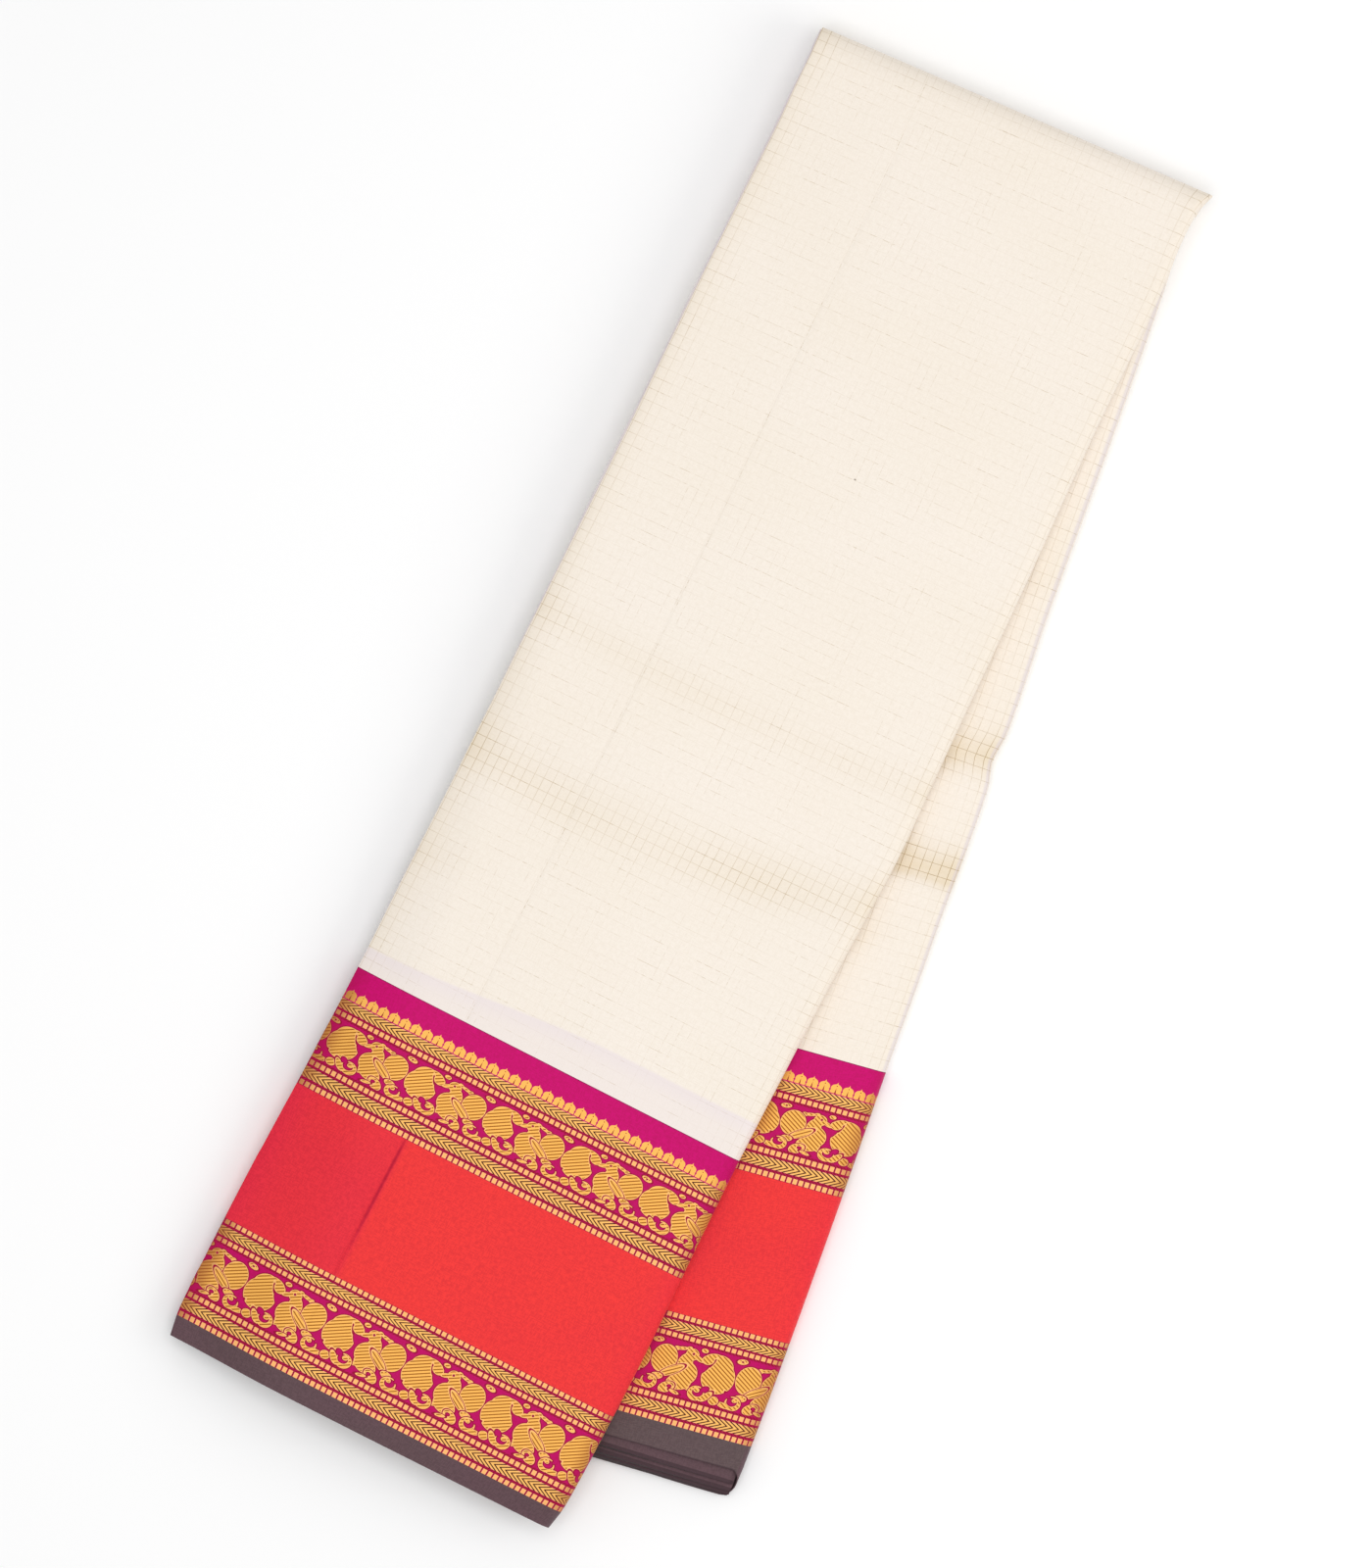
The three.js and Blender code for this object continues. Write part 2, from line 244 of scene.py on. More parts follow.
def relief(face, across, width, x, y):
    """How far a face lies below its plain form, with the soft creases and rolled edges."""
    left_roll = math.exp(-((across / LEFT_ROLL) ** 2))
    right_roll = math.exp(-(((width - across) / RIGHT_ROLL) ** 2))
    open_leg = smooth(-AXIS_Z, OPEN_LEG, y)
    waver = noise.noise(Vector((x * 0.022, y * 0.011, 7.7)))
    ripple = noise.noise(Vector((x * 0.05, y * 0.035, 1.3)))
    if face == "upper":
        past = across - LONG_CREASE_ACROSS
        line = math.exp(-((past / 0.7) ** 2))
        shoulder = math.exp(-((past / 7.0) ** 2)) if past < 0 else math.exp(-((past / 1.2) ** 2))
        depth = crease_depth(UPPER_CREASES, x, y)
        depth += long_crease_press(y) * (0.3 * line + 0.45 * shoulder)
        depth += 0.3 * left_roll + 0.6 * right_roll - 0.35 * waver - 0.12 * ripple
        return depth * open_leg
    if face == "lower":
        depth = crease_depth(LOWER_CREASES, x, y)
        return (depth + 0.2 * left_roll + 0.5 * right_roll - 0.2 * waver - 0.1 * ripple) * open_leg
    return crease_depth(UNDER_CREASES, x, y)


NEAR_FOLD = -45.0  # from here up, the legs begin to take the fold's shape


class Row:
    """The strip's section at a length along the path."""

    def __init__(self, path):
        self.path = path
        self.turn = 0.0
        if path <= TURN_START:
            self.leg = "upper"
            section = section_at(UPPER_LEG, UPPER_LEG[0].y + path)
            near = smooth(NEAR_FOLD, -AXIS_Z, section.y)
        elif path >= TURN_END:
            self.leg = "lower"
            self.turn = math.pi
            section = section_at(LOWER_LEG, LOWER_LEG[0].y - (path - TURN_END))
            near = smooth(NEAR_FOLD, -AXIS_Z, section.y)
        else:
            self.leg = "fold"
            self.turn = (path - TURN_START) / TURN_LENGTH * math.pi
            start, flare = UPPER_LEG[-1], math.sin(self.turn) ** 2
            section = Section(
                start.y,
                lerp(start.left, TIP.left, flare),
                lerp(start.right, TIP.right, flare),
                lerp(start.skew, TIP.skew, flare),
            )
            near = 1.0
        self.section = section
        self.corner = math.sin(self.turn) ** 2 if self.leg == "fold" else 0.0
        self.start = Vector((section.left, section.y - section.skew / 2))
        self.end = Vector((section.right, section.y + section.skew / 2))
        self.width = (self.end - self.start).length
        self.inner = lerp(SEAM / 2, BEND_INNER, near)
        self.side_round = lerp(SIDE_ROUND, FOLD_SIDE_ROUND, near)
        # the woven length from the border's join: up to its whole depth at each foot
        if self.leg == "lower":
            self.woven = (path - LOWER_JOIN) * LOWER_DEPTH / (PATH_END - LOWER_JOIN)
        else:
            self.woven = (UPPER_JOIN - path) * BORDER_DEPTH / UPPER_JOIN

    def point(self, across, height):
        """A place in the strip: distance from the left end, and height from its inner face."""
        share = height / THICKNESS
        place = self.start.lerp(self.end, across / self.width)
        x, y = place.x, place.y
        radius = lerp(self.inner, AXIS_Z, share)
        cosine, sine = math.cos(self.turn), math.sin(self.turn)
        fullness = lerp(1.0, TIP_FULLNESS, share)
        z = AXIS_Z + radius * math.copysign(abs(cosine) ** fullness, cosine)
        if self.leg == "upper":
            z -= sag_at(x, y) * (THICKNESS + SEAM)
            z -= relief("upper", across, self.width, x, y) * share
            room = 0.9 * sag_at(x, y) * THICKNESS
            z += min(relief("under", across, self.width, x, y), room) * (1 - share)
        elif self.leg == "lower":
            z -= relief("lower", across, self.width, x, y) * (1 - share)
        corner = self.corner * share * lerp(*TIP_CORNERS, across / self.width)
        y += radius * abs(sine) ** fullness + corner
        past_tip = min(y, 0.0) / TIP_POINT_FALL
        at_point = smooth(self.width - TIP_POINT_WIDTH, self.width, across)
        x += TIP_POINT * math.exp(past_tip) * at_point
        return Vector((x, y, max(z, 0.0)))


ORIGIN = Vector((4.249, 304.212, 0.0))  # the sari's own origin is under the middle of its box


def to_frame(point):
    return (point + ORIGIN) * MM


# ---------------------------------------------------------------- the wrapped outer cloth

HEM_UNDER = 12.0  # the folded edge runs this far back under the face
HEM_RADIUS = 0.4
SIDE_COLUMNS = 12
HEM_COLUMNS = 4
CREASE_COLUMNS = 14  # the narrow ones at the long crease


def edge_setback(row):
    """The layers beneath show past the outer cloth's left edge, more so near the fold."""
    return 0.3 + 0.6 * smooth(-330, -180, row.section.y)


def wrap_places(row, outer_columns, inner_columns):
    """Places round one section of the outer cloth: (across, height, woven width)."""
    setback = edge_setback(row) + HEM_RADIUS
    flat = row.width - row.side_round
    side_round = row.side_round
    sharp = row.corner  # at the fold's tip the outer face runs out to a corner
    places = []
    woven = -HEM_UNDER - math.pi * HEM_RADIUS

    def outer_face():
        """Over the top, with narrow columns at the long crease."""
        crease = LONG_CREASE_ACROSS
        stops = [
            (setback, outer_columns // 4),
            (crease - LONG_CREASE_ZONE, CREASE_COLUMNS),
            (crease + LONG_CREASE_ZONE, outer_columns - outer_columns // 4),
            (flat + sharp * side_round, 0),
        ]
        for (start, count), (stop, _) in zip(stops, stops[1:]):
            places.extend((lerp(start, stop, k / count), THICKNESS) for k in range(count))
        places.append((stops[-1][0], THICKNESS))

    def inner_face():
        for k in range(inner_columns + 1):
            places.append((lerp(flat + sharp * side_round, setback, k / inner_columns), 0.0))

    def hem(edge, into, forward):
        middle = lerp(edge, into, 0.5)
        turn = [
            (setback - HEM_RADIUS * math.sin(a), lerp(middle, edge, math.cos(a)))
            for a in (math.pi * k / HEM_COLUMNS for k in range(1, HEM_COLUMNS))
        ]
        under = [(setback + HEM_UNDER * k / 2, into) for k in range(3)]
        run = turn + under
        places.extend(run if forward else run[::-1])

    hem(THICKNESS, THICKNESS - 2 * HEM_RADIUS, False)
    outer_face()
    for k in range(1, SIDE_COLUMNS):
        angle = math.pi * (0.5 - k / SIDE_COLUMNS)
        fall = (1 - math.sin(angle)) / 2
        across = flat + side_round * lerp(math.cos(angle), 1.0, sharp)
        places.append((across, THICKNESS * (1 - fall)))
    inner_face()
    hem(0.0, 2 * HEM_RADIUS, True)

    # woven width is measured round the section, and scaled so that threads run with both edges
    scale = STRIP_WIDTH / row.width
    out = []
    for i, (across, height) in enumerate(places):
        if i:
            before = places[i - 1]
            woven += math.hypot(across - before[0], height - before[1]) * scale
        out.append((across, height, woven))
    return out


# how deep the painted shade gets, and how far from its middle it reaches
PaintedShade = namedtuple("PaintedShade", "most reach")
TIP_SHADE = PaintedShade(0.34, 14.0)
RIGHT_EDGE_SHADE = PaintedShade(0.36, 8.0)
LEFT_EDGE_SHADE = PaintedShade(0.44, 9.0)
LEG_EDGE_SHADOW = PaintedShade(0.36, 6.0)  # painted shadow on the lower leg, beside the upper one's edge
UPPER_CREASE_SHADE, LOWER_CREASE_SHADE = 0.29, 0.36  # painted shade for each millimetre of a crease's depth


def shade_near(tone, distance):
    return tone.most * math.exp(-((distance / tone.reach) ** 2))


def painted_shade(row, across):
    """Painted shade: 0 in the open cloth, up to 1 in creases, on rolled edges and round the fold's
    tip, and a painted shadow on the lower leg beside the upper leg's edge.
    """
    place = row.start.lerp(row.end, across / row.width)
    tone = shade_near(TIP_SHADE, row.path - (TURN_START + TURN_END) / 2)
    tone += shade_near(RIGHT_EDGE_SHADE, row.width - across) + shade_near(LEFT_EDGE_SHADE, across)
    if row.leg == "upper":
        tone += max(UPPER_CREASE_SHADE * crease_depth(UPPER_CREASES, place.x, place.y), 0.0)
    if row.leg == "lower":
        tone += max(LOWER_CREASE_SHADE * crease_depth(LOWER_CREASES, place.x, place.y), 0.0)
        past_edge = place.x - section_at(UPPER_LEG, place.y).right
        tone += shade_near(LEG_EDGE_SHADOW, past_edge) * smooth(-60, -200, place.y)
    return min(tone, 1.0)


def grid_places(verts, columns, rows):
    """Each vertex of a new grid, with its column and its row."""
    for vert in verts:
        column = round((vert.co.x + 0.5) * (columns - 1))
        yield vert, column, round((vert.co.y + 0.5) * (rows - 1))


def mesh_from(bm, name):
    mesh = bpy.data.meshes.new(name)
    bm.to_mesh(mesh)
    bm.free()
    return mesh


def cloth_mesh(name, rows, outer_columns, inner_columns, foot_reach=None):
    """A sheet that wraps the strip over some rows, from a grid moved into place."""
    sections = [wrap_places(row, outer_columns, inner_columns) for row in rows]
    columns = len(sections[0])
    bm = bmesh.new()
    bmesh.ops.create_grid(bm, x_segments=columns - 1, y_segments=len(rows) - 1, size=0.5)
    uv = bm.loops.layers.uv.new("cloth")
    tone = bm.verts.layers.float.new("painted_shade")
    woven = {}
    for vert, i, j in grid_places(bm.verts, columns, len(rows)):
        row = rows[j]
        across, height, width_coordinate = sections[j][i]
        length_coordinate = row.woven
        point = row.point(across, height)
        if foot_reach and j == len(rows) - 1:
            reach = foot_reach(row, height, across)
            point.y -= reach
            length_coordinate += reach
        vert[tone] = painted_shade(row, across)
        # painted shadow line: the last row at the lower foot gets the full painted shade near its
        # inner face
        if row.path == PATH_END:
            vert[tone] = lerp(1.0, vert[tone], min(height / 2, 1.0))
        woven[vert.index] = (width_coordinate, length_coordinate)
        vert.co = to_frame(point)
    for bm_face in bm.faces:
        bm_face.smooth = True
        for loop in bm_face.loops:
            loop[uv].uv = woven[loop.vert.index]
    return mesh_from(bm, name)


def link_object(name, mesh):
    obj = bpy.data.objects.new(name, mesh)
    bpy.context.scene.collection.objects.link(obj)
    return obj


def thicken(obj, wall):
    """Give a sheet its wall, inwards from its outer side, with crisp cut ends."""
    solid = obj.modifiers.new("cloth_wall", "SOLIDIFY")
    solid.thickness = wall * MM
    solid.offset = -1.0
    evaluated = obj.evaluated_get(bpy.context.evaluated_depsgraph_get())
    mesh = bpy.data.meshes.new_from_object(evaluated)
    mesh.name = obj.name
    obj.modifiers.clear()
    obj.data = mesh
    mesh.set_sharp_from_angle(angle=math.radians(50))


FOOT_LOOSE = 1.2  # the topmost edge's own reach at the lower foot
FOOT_FAN = 1.5  # how much further the layers reach at the right


def foot_fan(row, across):
    return FOOT_FAN * smooth(0.6, 0.95, across / row.width)


def foot_reach(row, height, across):
    """How far the outer cloth reaches at the lower foot: more so the lower that it lies."""
    return FOOT_LOOSE + (FOOT_STEP + 0.5 + foot_fan(row, across)) * height / THICKNESS


JOIN_SLIVER = 0.12  # a narrow first and last row, so that stretches meet without a shading line
LEG_SPACING, NOSE_SPACING = 4.0, 1.2  # between rows of the outer cloth


def stretch_rows(first, last, spacing):
    count = max(round((last - first) / spacing), 2)
    inside = [lerp(first, last, k / count) for k in range(1, count)]
    return [Row(p) for p in [first, first + JOIN_SLIVER, *inside, last - JOIN_SLIVER, last]]


def cut_of(row, length):
    """The cut of a stretch: its width all round the strip, and its area, less where it turns."""
    places = wrap_places(row, 8, 8)
    girth = area = 0.0
    for (across, height, _), (next_across, next_height, _) in zip(places, places[1:]):
        side = math.hypot(next_across - across, next_height - height)
        radius = lerp(BEND_INNER, AXIS_Z, (height + next_height) / (2 * THICKNESS))
        girth += side
        area += side * (math.pi * radius if row.leg == "fold" else length)
    return girth, area


def lay_cloth(name, node, first, last, spacing, material, reach=None):
    """Build one stretch of the outer cloth, which stands for a node of the frame."""
    rows = stretch_rows(first, last, spacing)
    settings = bpy.context.scene.sari_cloth
    obj = link_object(name, cloth_mesh(name, rows, settings.columns, settings.columns // 2, reach))
    obj.data.materials.append(material)
    thicken(obj, settings.cloth_wall / MM)
    girth, area = cut_of(rows[len(rows) // 2], last - first)
    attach(obj, BODY)
    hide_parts(node)
    return obj


# ---------------------------------------------------------------- the layers folded inside

LAYERS = "folded_layers"
LEAF_COUNT = 14
LEAF_CLEARANCE = 0.9  # from the stack's faces to the first and last leaf
LEAF_SHARE = 0.86  # a leaf's part of its pitch; the rest is the gap to the next
LEAF_COLUMNS = 9
LEAF_STOPS = (0, 3, 9, 16)  # the first columns, closer together at the open side
LEAF_RIGHT_INSET = 1.2  # from the folded right side's outer face
LEAF_SPACING, LEAF_FOLD_SPACING = 4.6, 1.8  # between rows, on the legs and round the fold
SETTLED = 0.86  # the stack's height away from the open side, as a share
FOOT_BEND = 9.0  # the length at the lower foot over which the layers reach out
# each bundle of leaves: inset at the open side, recess at the upper foot, reach at the lower foot
Bundle = namedtuple("Bundle", "leaves side upper_foot lower_foot")
BUNDLES = rows_of(
    Bundle,
    (4, 0.3, 1.0, 11.6),
    (3, 1.1, 1.6, 10.8),
    (3, 0.4, 1.3, 9.2),
    (4, 1.2, 2.0, 6.0),
)


def leaf_outline(row, middle, half, side):
    """One leaf's section, closed: over its top, round its ends and back underneath."""
    flat = row.width - row.side_round
    lean = max(abs(2 * (middle + half) / THICKNESS - 1), abs(2 * (middle - half) / THICKNESS - 1))
    right = flat + row.side_round * math.sqrt(max(1 - lean * lean, 0)) - LEAF_RIGHT_INSET
    left = side + half

    def settle(across):
        """Layers lie closer together away from the open side."""
        share = lerp(1.0, SETTLED, smooth(3, 16, across))
        return THICKNESS / 2 + (middle - THICKNESS / 2) * share

    across = [left + stop for stop in LEAF_STOPS]
    rest = LEAF_COLUMNS - len(LEAF_STOPS)
    across += [lerp(left + LEAF_STOPS[-1], right, k / rest) for k in range(1, rest + 1)]
    top = [(a, settle(a) + half) for a in across]
    under = [(a, settle(a) - half) for a in reversed(across)]
    rim = [
        (left - half * math.cos(a), settle(left) + half * math.sin(a)) for a in (-0.9, 0.0, 0.9)
    ]
    return top + under + rim + top[:1]


def layers_mesh(name):
    """The leaves of cloth inside, from one grid for each, closed round its section."""
    rows = (
        stretch_rows(0, TURN_START, LEAF_SPACING)[:-1]
        + stretch_rows(TURN_START, TURN_END, LEAF_FOLD_SPACING)[:-1]
        + stretch_rows(TURN_END, PATH_END, LEAF_SPACING)
    )
    pitch = (THICKNESS - 2 * LEAF_CLEARANCE) / LEAF_COUNT
    half = pitch * LEAF_SHARE / 2
    whole = bmesh.new()
    uv = whole.loops.layers.uv.new("cloth")
    number = 0
    for bundle in BUNDLES:
        for leaf in range(bundle.leaves):
            middle = THICKNESS - LEAF_CLEARANCE - pitch * (number + 0.5)
            recess = bundle.upper_foot + 0.1 * leaf
            outlines = []
            for row in rows:
                wander = noise.noise(Vector((row.path * 0.02, number * 3.7, 0.5)))
                flutter = noise.noise(Vector((row.path * 0.09, number * 5.1, 4.5)))
                side = max(bundle.side + 0.14 * leaf + 0.6 * wander + 0.25 * flutter, 0.1)
                outlines.append(leaf_outline(row, middle, half, side))
            columns = len(outlines[0])
            grid = bmesh.ops.create_grid(
                whole, x_segments=columns - 1, y_segments=len(rows) - 1, size=0.5
            )
            woven = {}
            for vert, i, j in grid_places(grid["verts"], columns, len(rows)):
                row = rows[j]
                across, height = outlines[j][i]
                point = row.point(across, height)
                length = row.woven
                reach_out = bundle.lower_foot - 0.12 * leaf + foot_fan(row, across)
                if row.leg == "upper":
                    length += recess
                    point.y += recess * (1 - smooth(0, 6, row.path))
                if row.leg == "lower":
                    length -= reach_out * smooth(TURN_END, PATH_END, row.path)
                    bent = reach_out * smooth(PATH_END - FOOT_BEND, PATH_END, row.path)
                    point.y -= bent
                    length += bent
                woven[vert] = (across * STRIP_WIDTH / row.width, length)
                vert.co = to_frame(point)
            for vert in grid["verts"]:
                for loop in vert.link_loops:
                    loop[uv].uv = woven[vert]
            bmesh.ops.remove_doubles(whole, verts=grid["verts"], dist=1e-7)
            number += 1
    open_edges = [e for e in whole.edges if e.is_boundary]
    caps = bmesh.ops.holes_fill(whole, edges=open_edges, sides=0)["faces"]
    for bm_face in whole.faces:
        bm_face.smooth = True
    for cap in caps:
        cap.smooth = False
        for loop in cap.loops:
            loop[uv].uv = loop.link_loop_radial_next[uv].uv
    mesh = mesh_from(whole, name)
    mesh.set_sharp_from_angle(angle=math.radians(60))
    return mesh


# ---------------------------------------------------------------- finishes


def dye(red, green, blue):
    """A display colour, 0 to 255 each, as a shader's linear colour."""

    def linear(value):
        value /= 255
        return value / 12.92 if value <= 0.04045 else ((value + 0.055) / 1.055) ** 2.4

    return (linear(red), linear(green), linear(blue))


def math_node(operation, swapped=False):
    """A method that adds one math node for an amount and what it is worked out with."""

    def method(self, *others):
        return self.weave.work(operation, *((*others, self) if swapped else (self, *others)))

    return method


class Amount:
    """A number that the weave works out at each point of the cloth."""

    def __init__(self, weave, socket):
        self.weave = weave
        self.socket = socket

    __add__ = math_node("ADD")
    __sub__ = math_node("SUBTRACT")
    __rsub__ = math_node("SUBTRACT", swapped=True)
    __mul__ = math_node("MULTIPLY")
    __truediv__ = math_node("DIVIDE")
    __mod__ = math_node("FLOORED_MODULO")
    __lt__ = math_node("LESS_THAN")
    __gt__ = math_node("GREATER_THAN")
    __abs__ = math_node("ABSOLUTE")
    least = math_node("MINIMUM")
    most = math_node("MAXIMUM")
    power = math_node("POWER")


class Weave:
    """Adds a material's nodes: numbers and colours laid over the cloth."""

    def __init__(self, tree):
        self.tree = tree

    def feed(self, socket, value):
        if isinstance(value, Amount):
            self.tree.links.new(value.socket, socket)
        elif isinstance(value, bpy.types.NodeSocket):
            self.tree.links.new(value, socket)
        else:
            socket.default_value = value

    def node(self, kind, fed=(), **ways):
        """A new node, its own settings made first and then its named inputs fed."""
        node = self.tree.nodes.new(kind)
        for name, value in ways.items():
            setattr(node, name, value)
        for name, value in dict(fed).items():
            self.feed(node.inputs[name], value)
        return node

    def work(self, operation, *values):
        node = self.node("ShaderNodeMath", operation=operation)
        for socket, value in zip(node.inputs, values):
            self.feed(socket, value)
        return Amount(self, node.outputs[0])

    def ramp(self, value, start, end):
        """0 before start, 1 past end, with a soft step between."""
        fed = {"Value": value, "From Min": start, "From Max": end}
        node = self.node("ShaderNodeMapRange", fed, interpolation_type="SMOOTHSTEP")
        return Amount(self, node.outputs["Result"])

    def blend(self, share, below, above):
        """One colour over another, by share."""
        node = self.node("ShaderNodeMix", {"Factor": share}, data_type="RGBA")
        for name, colour in (("A", below), ("B", above)):
            socket = next(i for i in node.inputs if i.name == name and i.type == "RGBA")
            self.feed(socket, (*colour, 1) if isinstance(colour, tuple) else colour)
        return next(o for o in node.outputs if o.type == "RGBA")

    def point(self, x, y):
        return self.node("ShaderNodeCombineXYZ", {"X": x, "Y": y}).outputs["Vector"]

    def mottle(self, vector, scale, detail=2.0):
        """Uneven patches, about 0.5 on average."""
        place = self.node("ShaderNodeMapping", {"Vector": vector, "Scale": (*scale, 1)})
        fed = {"Vector": place.outputs["Vector"], "Scale": 1.0, "Detail": detail}
        return Amount(self, self.node("ShaderNodeTexNoise", fed).outputs["Fac"])

    def oval(self, vector, x, y, half_width, half_height, turn):
        """Roughly how far a point lies outside an oval, less than 0 inside."""
        fed = {
            "Vector": vector,
            "Location": (x, y, 0),
            "Rotation": (0, 0, math.radians(turn)),
            "Scale": (half_width, half_height, 1),
        }
        place = self.node("ShaderNodeMapping", fed, vector_type="TEXTURE")
        length = self.node("ShaderNodeVectorMath", operation="LENGTH")
        self.feed(length.inputs[0], place.outputs["Vector"])
        radius = min(half_width, half_height)
        return self.work("MULTIPLY_ADD", Amount(self, length.outputs["Value"]), radius, -radius)


# The woven figures, in painter's order: a paisley, a bird with a round tail, and scrolls below.
# Each is an oval: middle, half width and height, turn, and the dark gap kept round it. A gap of
# None cuts the oval out of what is below it.
FIGURE_REPEAT = 35.5
FIGURE_HALF = 11.2  # half the height of the band that the figures are drawn for
FIGURES = [
    (10.6, -0.6, 6.8, 6.9, 0, 0.0),
    (11.6, -4.6, 5.9, 5.3, 0, 0.0),
    (14.8, -7.6, 3.9, 2.2, 14, 0.0),
    (18.6, -2.6, 4.6, 2.3, 52, None),
    (14.5, -5.8, 0.5, 2.3, -22, None),
    (16.7, -6.6, 2.5, 2.0, 14, 0.0),
    (24.6, 1.2, 5.6, 5.2, 0, 0.4),
    (25.2, 5.4, 5.0, 3.2, 12, 0.0),
    (20.6, 7.0, 3.0, 0.8, -16, 0.0),
    (25.4, -2.6, 3.0, 4.6, -10, 0.0),
    (23.6, -7.0, 2.7, 2.5, 0, 0.0),
    (20.4, -6.0, 2.3, 0.9, -22, 0.0),
    (25.6, -9.2, 1.2, 0.7, 20, 0.0),
    (28.2, -8.5, 2.4, 0.7, 12, 0.0),
    (30.4, -8.0, 1.2, 0.9, 0, 0.0),
    (23.2, -7.4, 0.55, 0.55, 0, None),
    (33.9, -2.6, 5.2, 6.0, 0, 0.4),
    (29.4, 1.4, 5.4, 1.7, 36, 0.3),
    (34.6, 5.2, 2.5, 1.4, 8, 0.4),
    (29.2, 8.6, 3.4, 2.2, 30, 0.35),
    (28.2, 8.0, 1.1, 0.8, 0, None),
    (25.6, 9.8, 2.2, 0.7, -12, 0.3),
    (1.4, 8.1, 3.3, 3.0, 0, 0.4),
    (1.9, 7.5, 2.2, 1.9, 0, None),
    (4.4, 5.4, 2.4, 1.0, -40, None),
    (0.9, 6.6, 1.2, 0.9, 20, 0.0),
    (4.8, 9.8, 3.0, 1.1, -8, 0.0),
    (9.2, 9.0, 2.1, 1.8, 0, 0.4),
    (12.6, 8.2, 1.3, 3.0, -38, 0.4),
    (17.0, 7.9, 3.4, 3.1, 0, 0.4),
    (16.4, 7.3, 2.3, 1.9, 0, None),
    (14.0, 5.4, 2.0, 1.4, 30, None),
    (13.4, 8.6, 1.1, 2.6, -38, 0.0),
    (17.2, 6.5, 1.3, 1.0, -15, 0.0),
    (3.2, -9.6, 2.2, 1.1, 10, 0.0),
    (3.2, -9.6, 0.55, 0.4, 0, None),
    (19.2, -9.9, 1.4, 0.9, 0, 0.3),
]
WING = 17  # the figure whose ribs lean the other way
RIB_PITCH = 1.31
RIB_SHARE = 0.37
RIB_LEAN = math.asin(14 * RIB_PITCH / FIGURE_REPEAT)  # the ribs run on into the next repeat
RIB_EDGE = 0.25  # the plain gold line round each figure


def figure_group():
    """A node group that gives the distance outside the figures, and which way their ribs lean."""
    tree = bpy.data.node_groups.new("woven_figures", "ShaderNodeTree")
    tree.interface.new_socket("Place", in_out="INPUT", socket_type="NodeSocketVector")
    for name in ("Outside", "Side"):
        tree.interface.new_socket(name, in_out="OUTPUT", socket_type="NodeSocketFloat")
    weave = Weave(tree)
    place = weave.node("NodeGroupInput").outputs["Place"]
    outside = wing = None
    for number, (x, y, half_width, half_height, turn, gap) in enumerate(FIGURES):
        reach = max(half_width, half_height) + 0.6
        shifts = [0.0]
        if x + reach > FIGURE_REPEAT:
            shifts.append(-FIGURE_REPEAT)
        if x - reach < 0:
            shifts.append(FIGURE_REPEAT)
        for shift in shifts:
            oval = weave.oval(place, x + shift, y, half_width, half_height, turn)
            if outside is None:
                outside = oval
            elif gap is None:
                outside = outside.most(oval * -1.0)
            else:
                if gap:
                    outside = outside.most(gap - oval)
                outside = outside.least(oval)
            if number == WING:
                wing = oval if wing is None else wing.least(oval)
    weave.node("NodeGroupOutput", {"Outside": outside, "Side": (wing < 0.0) * -2.0 + 1.0})
    return tree


CREAM = dye(243, 233, 219)
PALE_CREAM = dye(246, 237, 227)
THREAD = dye(178, 152, 108)
# the cream in painted shade
CREAM_IN_SHADE = dye(224, 204, 168)
SEEN_THROUGH = dye(236, 225, 223)
LAVENDER = dye(208, 198, 212)
LAYER_CREAM = dye(232, 220, 214)
LAYER_SHADE = dye(214, 206, 218)
MAGENTA = dye(205, 0, 111)
MAROON = dye(146, 4, 40)
RED = dye(248, 60, 55)
CRIMSON = dye(230, 44, 66)
GOLD = dye(250, 186, 92)
BRIGHT_GOLD = dye(250, 192, 116)
RIB = dye(150, 84, 14)
BRONZE = dye(152, 76, 40)
PINK_GOLD = dye(252, 184, 124)
YELLOW_GOLD = dye(250, 190, 104)
CHEVRON_SHADE = dye(74, 24, 22)
SELVEDGE = dye(102, 76, 83)
SELVEDGE_BACK = dye(100, 82, 84)
SELVEDGE_SHADE = dye(84, 80, 72)
# dark threads, and painted shadow lines at the cut ends
SELVEDGE_GRAIN_AND_SHADOW = dye(62, 46, 51)
JOIN_SHADE = dye(110, 10, 70)
KNOT_SHADE = dye(120, 108, 96)

SEEN_REACH = 9.5  # how far above the join the border below shows through, at the left edge
SEEN_WIDENING = 7.0
SIDE_WOVEN = 180.5  # the middle of the folded right side, in the cloth
OUTER_FACE_END, INNER_FACE_START = 178.0, 182.0
KNOT = (92.0, -270.2, 0.5, 0.35)  # a small dark knot in the field: its place and half sizes
CHECK_ACROSS = 4.0  # from one gold thread to the next
CHECK_ALONG = 5.0
CHECK_LINE = 0.26

LONG_CREASE_WOVEN = LONG_CREASE_ACROSS - 1.0  # its place in the cloth
CREASE_LINE_START, CREASE_LINE_END = (52.0, 60.0), (112.0, 82.0)  # where the painted shade line along it fades
UPPER_BAND, UPPER_HALF = 31.9, 9.7  # the middle and half height of each band of figures
LOWER_BAND, LOWER_HALF = 138.5, 11.1
BAND_CHANGE = 85.0
SIDE_STRIP = 11.4  # the strip of squares and chevrons beside each band
STRIP_START = 14.2  # the dark ground of the first strip begins here, below the arches
SELVEDGE_START = 161.5
JOIN_WIDTH = 0.35

